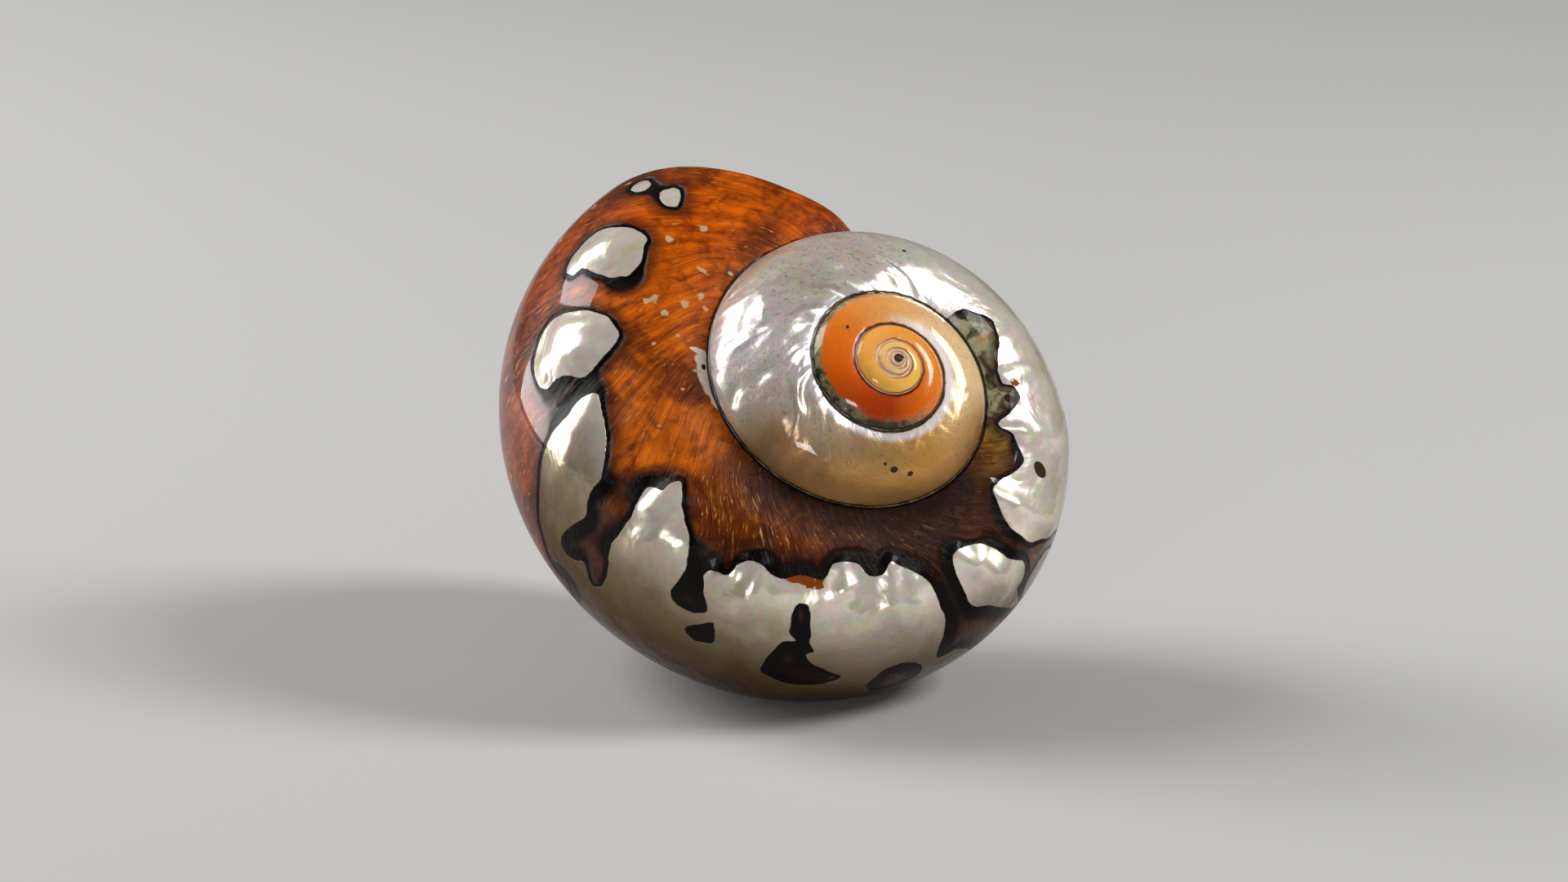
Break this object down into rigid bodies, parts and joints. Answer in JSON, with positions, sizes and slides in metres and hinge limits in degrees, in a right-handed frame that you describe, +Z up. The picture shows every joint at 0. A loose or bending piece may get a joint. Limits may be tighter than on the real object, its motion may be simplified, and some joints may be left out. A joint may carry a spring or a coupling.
{
  "type": "turban shell",
  "caption": "Polished coiled sea shell with a low spire, a row of ground shoulder knobs and a wide round mouth, lying on its side.",
  "frame": {"origin": "centre of the bounding box's bottom, on the surface that the shell lies on", "axes": "+Z up, -Y to the front where the spire points up and a little to +X, mouth turned up and to the back"},
  "size_m": [0.0796, 0.0716, 0.0686],
  "materials": {
    "shell": "polished shell: orange-brown outer layer over mother-of-pearl, glossy"
  },
  "bodies": {
    "root": {"shell": "shell"}
  },
  "joints": []
}
